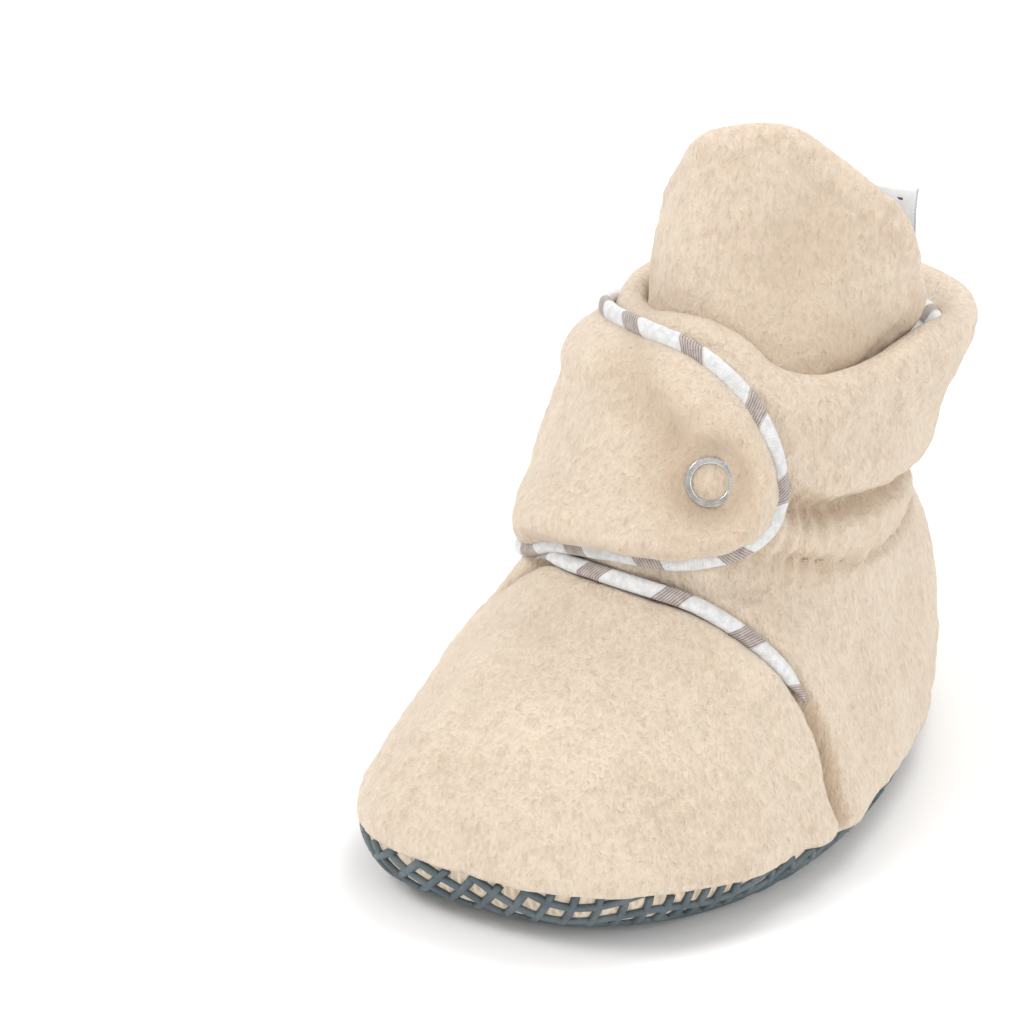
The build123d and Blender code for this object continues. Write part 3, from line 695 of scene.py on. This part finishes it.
# two families of wavy ribs that cross, each one cut off where it leaves the sole
net_points, net_faces = [], []
reach_far = np.arange(-95, 95, NET_STEP)
turn = math.radians(NET_TURN)
crown = RIB_WIDTH * 0.62
for family in (0, 1):
    for k in range(-24, 25):
        base = k * NET_PITCH
        if family == 0:
            u0 = (base + 3.0 * np.sin(reach_far / 15.0 + 0.5)
                  + 1.3 * np.sin(reach_far / 6.5 + base / 9))
            v0 = reach_far + 1.6 * np.sin(base / 7.0)
        else:
            v0 = (base * 1.05 + 3.2 * np.sin(reach_far / 13.0)
                  + 1.4 * np.sin(reach_far / 5.0 + base / 11))
            u0 = reach_far + 1.6 * np.sin(base / 8.0)
        u = u0 * math.cos(turn) - v0 * math.sin(turn)
        v = u0 * math.sin(turn) + v0 * math.cos(turn)
        line, kept = on_sole(u, v, SOLE_TOP)
        skin, _ = on_sole(u, v, 0.0)
        runs = np.flatnonzero(np.diff(np.r_[0, kept.astype(int), 0]))
        for first, last in zip(runs[::2], runs[1::2]):
            if last - first < 4:
                continue
            part, face = line[first:last], skin[first:last]
            outwards = face - part
            outwards /= np.maximum(np.linalg.norm(outwards, axis=1, keepdims=True), 1e-6)
            side, up = frames_on(part, outwards)
            foot, shoulder, crest = side * RIB_WIDTH, side * crown * 1.1, side * crown * 0.7
            flank, rise = up * RIB_RISE * 0.78, up * RIB_RISE
            ring = np.stack([part - foot, part - shoulder + flank, part - crest + rise,
                             part + crest + rise, part + shoulder + flank, part + foot], 1)
            start = sum(len(p) for p in net_points)
            net_points.append(ring.reshape(-1, 3))
            net_faces += list(grid_faces(len(part), 6, True, start))
            net_faces += [tuple(start + i for i in range(6)),
                          tuple(start + (len(part) - 1) * 6 + i for i in range(5, -1, -1))]
net_points = np.concatenate(net_points)
net_points[:, 2] = np.maximum(net_points[:, 2], 0.0)
net_piece = make("grip_net_ribs", net_points, net_faces, rubber, "boot")
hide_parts("grip_net")

# ---------------- bindings ----------------
binding_first = int(np.argmax((seam_line[:, 0] > -17.5) & (seam_line[:, 2] > 40)))
binding_dir = seam_dir[binding_first:196]
binding_z = seam_line[binding_first:196, 2]
binding_out = body_normal(binding_dir, binding_z)
binding_line = body(binding_dir, binding_z) + binding_out * 0.55
side, up = frames_on(binding_line, binding_out)
place, total = np.arange(len(binding_line)), len(binding_line)
taper = ease(place, 0, 14) * ease(-place, -total, 14 - total)
band = tube(binding_line, side, up, 0.4 + 0.95 * taper, 0.35 + 0.85 * taper, 12)
piece = make("front_edge_binding_band", band[0], band[1], cotton_band, "boot",
             {"along": band[2], "across": band[3]})
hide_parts("front_edge_binding")

loop = np.linspace(-math.pi, math.pi, 420, endpoint=False)
loop_z = around(RIM, loop) - ROLL - 1.4
loop_line = body(loop, loop_z, 2 * ROLL + 0.7)
loop_out = -body_normal(loop, loop_z)
side, up = frames_on(loop_line, loop_out)
band = tube(loop_line, side, up, 1.9, 0.95, 12, closed=True)
piece = make("collar_binding_band", band[0], band[1], cotton_band, "boot",
             {"along": band[2], "across": band[3]})
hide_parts("collar_binding")

# ---------------- strap ----------------
ARM = 32.0               # millimetres round the ankle for one radian


def root_share(angle):
    """0 along the free strap, rising to 1 at the root, where it is sewn into the quarter."""
    return ease(-np.degrees(angle), ROOT_FROM, ROOT_TO)


def strap_lift(root):
    """Height of the strap's underside above the outside of the boot."""
    return STRAP_GAP * (1 - root) - ROOT_SINK * root


top_edge, low_edge = resample(STRAP_TOP, 150), resample(STRAP_LOW, 150)
top_flat = np.c_[direction(top_edge, 4.0) * ARM, top_edge[:, 2]]
low_flat = np.c_[direction(low_edge, 4.0) * ARM, low_edge[:, 2]]
low_flat[-1] = top_flat[-1]
outline_flat = resample(np.r_[top_flat, low_flat[::-1][1:]], 420)
across_count = 96
mixing = np.linspace(0, 1, across_count)[None, :, None]
flat = top_flat[:, None] * (1 - mixing) + low_flat[:, None] * mixing
edge_gap = distance(flat, outline_flat)
top_gap, low_edge_gap = distance(flat, top_flat), distance(flat, low_flat)
angle_now = flat[..., 0] / ARM
height_now = flat[..., 1]
far_side = -np.degrees(angle_now)
root = root_share(angle_now)
swell = pillow(edge_gap, STRAP_ROUND)
soft = (3.0 * bump(top_gap - 5.0, 3.8) * ease(far_side, -34, 20)
        + 2.0 * bump(low_edge_gap - 5.5, 3.8))
# the fold that runs slanting over the strap, and where it fades out at its two ends
ridge = (height_now - 74) * 0.82 + (flat[..., 0] + 4) * 0.57
fade_far, fade_near = 1 - 0.8 * ease(far_side, 14, 40), ease(far_side, -22, 0)
soft -= 4.0 * bump(ridge, 4.4) * fade_far * fade_near
thin_side = 1 - 0.3 * ease(far_side, 25, 55)
thick = ((STRAP_THICK + soft) * swell * thin_side + 0.7) * (1 - 0.55 * root)
lift = strap_lift(root)
front = body(angle_now, height_now, -(lift + thick))
front_out = grid_normals(front, False)
if (front_out * (front - np.array([5.0, 20.0, 65.0]))).sum() < 0:
    front_out = -front_out
front += front_out * (lumps(front, PLUSH_LUMPS) * (0.25 + 0.75 * swell))[..., None]
# the plush is pressed down round the ring of the snap, which is read from the CAD
ring_co = np.array([v.co for v in nodes["snap_ring"].data.vertices]) / MM
ring_centre = (ring_co.max(0) + ring_co.min(0)) / 2
ring_axis = np.linalg.svd(ring_co - ring_co.mean(0), full_matrices=False)[2][2]
ring_axis *= np.sign(ring_axis @ np.array([0.4, -0.8, 0.4]))
ring_top = ((ring_co - ring_centre) @ ring_axis).max()
offset = front - ring_centre
rise = offset @ ring_axis
wide_gap = np.linalg.norm(offset - rise[..., None] * ring_axis, axis=-1)
tipward = (offset @ np.array([0.899, 0.438, 0.0])) / 4
target = (ring_top - 0.55 + 0.75 * bump(wide_gap, 2.6) + 1.5 * ease(wide_gap, 4.3, 9)
          + 0.75 * ease(tipward, 0.1, 0.9) * ease(wide_gap, 2.6, 4.2))
near = (1 - ease(wide_gap, 4.6, 9.5)) * (rise > -6)
front += ring_axis * ((target - rise) * near)[..., None]
back = body(angle_now, height_now, -lift)
pad_points, pad_faces = closed_pad(front, back)
# painted shade along the strap's fold and in the dip round the snap ring
dent = bump(ridge, 4.8) * fade_near * fade_far
painted_shade_strap = np.clip(0.42 * dent + 0.5 * bump(wide_gap - 4.5, 2.6)
                     + 0.25 * bump(wide_gap - 7, 5), 0, 0.7)
painted_shade_marks = {"deep": np.concatenate([painted_shade_strap.ravel(), np.zeros(painted_shade_strap.size)])}
strap_piece = make("closure_strap_plush", pad_points, pad_faces, plush, None, painted_shade_marks)
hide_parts("closure_strap")

LINING_UNDER = 0.15      # the strap's lining lies this far under its plush
inner = slice(4, -4)     # and stops this many columns short of the strap's two edges
lining_out = body(flat[:, inner, 0] / ARM, flat[:, inner, 1], LINING_UNDER - lift[:, inner])
strap_lining = make("strap_lining_cotton", lining_out, grid_faces(*lining_out.shape[:2]),
                    cotton_sheet)
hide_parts("strap_lining")

edge_dir, edge_z = outline_flat[:, 0] / ARM, outline_flat[:, 1]
edge_line = body(edge_dir, edge_z, -(strap_lift(root_share(edge_dir)) + 0.9))
edge_out = body_normal(edge_dir, edge_z)
side, up = frames_on(edge_line, edge_out)
centre = edge_line.mean(0)
side *= np.sign(((edge_line - centre) * side).sum(1))[:, None]
edge_line = edge_line + side * 0.55 + up * 0.2
band = tube(edge_line, side, up, 1.45, 1.1, 12)
strap_band = make("strap_binding_band", band[0], band[1], cotton_band, None,
                  {"along": band[2], "across": band[3]})
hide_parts("strap_binding")

# two points, in metres, along the fold that the strap swings on
hinge_start = body(math.radians(-67), 66.0, -2.0) * MM
hinge_end = body(math.radians(-50), 66.0, -2.0) * MM
for piece in (strap_piece, strap_lining, strap_band):
    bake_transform(piece)

# ---------------- tongue ----------------
angles = np.radians(np.linspace(-82, 82, 190))
tops = smooth_at(TONGUE_TOP[:, 0], TONGUE_TOP[:, 1], np.degrees(angles))
fractions = np.linspace(0, 1, 130)[:, None]
heights = TONGUE_FOOT + (tops[None] - TONGUE_FOOT) * fractions
rows_t = smooth_at(TONGUE[:, 0], TONGUE[:, 1:], heights)
narrow = 0.62 + 0.38 * ease(heights, 58, 83)
turned = angles[None] * narrow
middle_t = np.stack([rows_t[..., 0] + rows_t[..., 2] * np.sin(turned) + SHIFT[0],
                     rows_t[..., 1] + rows_t[..., 3] * (1 - np.cos(turned)) + SHIFT[1], heights], -1)
normal_t = grid_normals(middle_t, False)
normal_t *= np.sign((normal_t[..., 1]).mean()) * -1
HOLLOW = 3.6             # depth of the dip on the near side of the tongue
hollow = HOLLOW * bump(np.degrees(turned) - 26, 24) * ease(heights, 80, 94)
hollow -= 1.6 * bump(np.degrees(turned) - 66, 12) * ease(heights, 84, 96)
ridge_t = (1.6 * bump(np.degrees(turned) + 26 + (heights - 100) * 0.5, 13)
           * ease(heights, 84, 94))
middle_t = middle_t + normal_t * (ridge_t - hollow)[..., None]
border_line = np.concatenate([middle_t[:-1, 0], middle_t[-1, :-1], middle_t[::-1, -1]])
tongue_gap = distance(middle_t, resample(border_line, 700))
swell_t = pillow(tongue_gap, TONGUE_ROUND)
seam_t = -0.5 * bump(tongue_gap - 5.2, 0.9)  # the stitched line inside the edge
fuzz = lumps(middle_t, PLUSH_LUMPS)
face_t = middle_t + normal_t * ((TONGUE_HALF + seam_t + fuzz) * swell_t)[..., None]
rear_fuzz = 0.6 * np.roll(fuzz, 9, 1)
rear_t = middle_t - normal_t * ((TONGUE_HALF + seam_t * 0.5 + rear_fuzz) * swell_t)[..., None]
pad_points, pad_faces = closed_pad(face_t, rear_t)
# painted shade in the tongue's hollow and low down where it goes into the collar
painted_shade_tongue = np.clip(0.38 * hollow / HOLLOW * (1 - ease(heights, 96, 110))
                      + 0.45 * (1 - ease(heights, 80, 90)), 0, 0.7)
painted_shade_marks = {"deep": np.concatenate([painted_shade_tongue.ravel(), painted_shade_tongue.ravel()])}
tongue_piece = make("tongue_plush", pad_points, pad_faces, plush, None, painted_shade_marks)
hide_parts("tongue_outer", "tongue_lining", "tongue_base", "tongue_base_lining")
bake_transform(tongue_piece)

# ---------------- care label ----------------
low, high = [np.array(v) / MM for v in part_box("care_label")]
label_u = np.linspace(-1, 1, 15)
centre_x, centre_y = (low[0] + high[0]) / 2, (low[1] + high[1]) / 2
half_label = (high[0] - low[0]) / 2 - 0.1
# the strip goes up one side of the tab, over its fold and down the other, and its two ends
# curve down into the rim
half_strip = [(-0.3, low[2] - 6), (-0.4, low[2] - 3), (-0.45, low[2])]
half_strip += [(-0.5, low[2] + t * (high[2] - low[2] - 0.5)) for t in np.linspace(0.1, 1, 10)]
half_strip += [(-0.3, high[2] - 0.1)]
profile = half_strip + [(0.0, high[2])] + [(-y, z) for y, z in half_strip[::-1]]


def label_sway(u, z):
    """How far the label bends out of its plane."""
    return 0.5 * math.sin(u * 2 + z * 0.5) * (z - low[2]) / 10


label_grid = np.array([[(centre_x + half_label * u,
                         centre_y + y - 2.8 * float(ease(low[2] + 1 - z, 0, 4)) + label_sway(u, z), z)
                        for u in label_u] for y, z in profile])
label_piece = make("care_label_satin", label_grid, grid_faces(len(profile), len(label_u)), satin,
                   "label")
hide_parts("care_label")
# short generic strokes in place of print: where each line starts and ends, from -1 to 1
marks_points, marks_faces = [], []
for row, (left, right) in enumerate(((-0.6, 0.5), (-0.6, 0.1), (-0.6, 0.65), (-0.6, -0.1))):
    z = high[2] - 2.2 - row * 1.5
    for u0, u1 in ((left, left + 0.25), (left + 0.35, right)):
        if u1 <= u0:
            continue
        start = len(marks_points)
        for u, dz in ((u0, 0), (u1, 0), (u1, 0.45), (u0, 0.45)):
            marks_points.append((centre_x + half_label * u, centre_y - 0.56 + label_sway(u, z),
                                 z + dz))
        marks_faces.append((start, start + 1, start + 2, start + 3))
marks_piece = make("care_label_marks", marks_points, marks_faces, ink, "label", tidy=False)


# ---------------- stitches ----------------
def stitches(name, line, normals, pitch, length, radius, ride_on=None):
    """Small threads laid end to end along a line."""
    line = np.asarray(line, float)
    run = np.r_[0, np.cumsum(np.linalg.norm(np.diff(line, axis=0), axis=1))]
    points, faces = [], []
    for at in np.arange(pitch, run[-1] - pitch, pitch):
        spots = at + np.linspace(-0.5, 0.5, 6) * length
        mids = np.stack([np.interp(spots, run, line[:, k]) for k in range(3)], -1)
        ups = np.stack([np.interp(spots, run, normals[:, k]) for k in range(3)], -1)
        arch = np.array([-0.7, 0.2, 0.5, 0.5, 0.2, -0.7]) * radius
        mids = mids + ups * arch[:, None]
        sides, ups = frames_on(mids, ups)
        part = tube(mids, sides, ups, radius, radius * 0.8, 6, 1.0)
        start = sum(len(p) for p in points)
        points.append(part[0])
        faces += [tuple(start + i for i in f) for f in part[1]]
    piece = make(name, np.concatenate(points), faces, thread, ride_on)
    return piece


# the casing's stitches run round the heel from one side of the toe seam to the other
casing_dir = np.radians(np.linspace(44, 316, 300))
casing_dir = (casing_dir + math.pi) % (2 * math.pi) - math.pi
casing_z = around(CASING, casing_dir)
casing_out = body_normal(casing_dir, casing_z)
stitches("casing_stitches", body(casing_dir, casing_z) - casing_out * CASING_DEPTH, casing_out,
         3.0, 1.7, 0.2, "boot")

# ---------------- floor, light and camera ----------------
floor_mesh = bpy.data.meshes.new("floor")
floor_mesh.from_pydata([(-3, -3, 0), (3, -3, 0), (3, 3, 0), (-3, 3, 0)], [], [(0, 1, 2, 3)])
floor = bpy.data.objects.new("floor", floor_mesh)
bpy.context.scene.collection.objects.link(floor)
floor_look = bpy.data.materials.new("floor")
floor_look.use_nodes = True
floor_shader = floor_look.node_tree.nodes["Principled BSDF"]
floor_shader.inputs["Base Color"].default_value = (0.93, 0.93, 0.93, 1)
floor_shader.inputs["Roughness"].default_value = 0.9
floor_mesh.materials.append(floor_look)

world = bpy.data.worlds.new("studio")
bpy.context.scene.world = world
world.use_nodes = True
world.node_tree.nodes["Background"].inputs["Color"].default_value = (1.0, 1.0, 1.0, 1)
world.node_tree.nodes["Background"].inputs["Strength"].default_value = 0.78


def lamp(name, place, aim, size, power, colour=(1, 1, 1)):
    light = bpy.data.lights.new(name, "AREA")
    light.size, light.energy, light.color = size, power, colour
    obj = bpy.data.objects.new(name, light)
    obj.location = place
    obj.rotation_euler = (Vector(place) - Vector(aim)).to_track_quat("Z", "Y").to_euler()
    bpy.context.scene.collection.objects.link(obj)


bpy.context.scene.view_settings.view_transform = "Standard"
AIM = (0.0, 0.0, 0.05)
lamp("key", (-0.60, -0.55, 0.95), AIM, 0.45, 6.0, (1.0, 0.985, 0.965))
lamp("fill", (0.95, -0.45, 0.55), AIM, 0.8, 3.6)
lamp("top", (0.1, 0.5, 1.1), AIM, 0.6, 5.0)

# the photograph's viewing angle; the distance is in metres
AZIMUTH, ELEVATION, DISTANCE = math.radians(28.0), math.radians(24.67), 0.70805
target = Vector((-0.075244, 0.077110, 0.0))
away = Vector((math.sin(AZIMUTH) * math.cos(ELEVATION),
               -math.cos(AZIMUTH) * math.cos(ELEVATION), math.sin(ELEVATION)))
camera_data = bpy.data.cameras.new("camera")
camera_data.sensor_width = 36.0
camera_data.lens = 126.5625  # millimetres, for that sensor
camera_data.clip_start = 0.01
camera = bpy.data.objects.new("camera", camera_data)
camera.location = target + away * DISTANCE
camera.rotation_euler = away.to_track_quat("Z", "Y").to_euler()
bpy.context.scene.collection.objects.link(camera)
bpy.context.scene.camera = camera
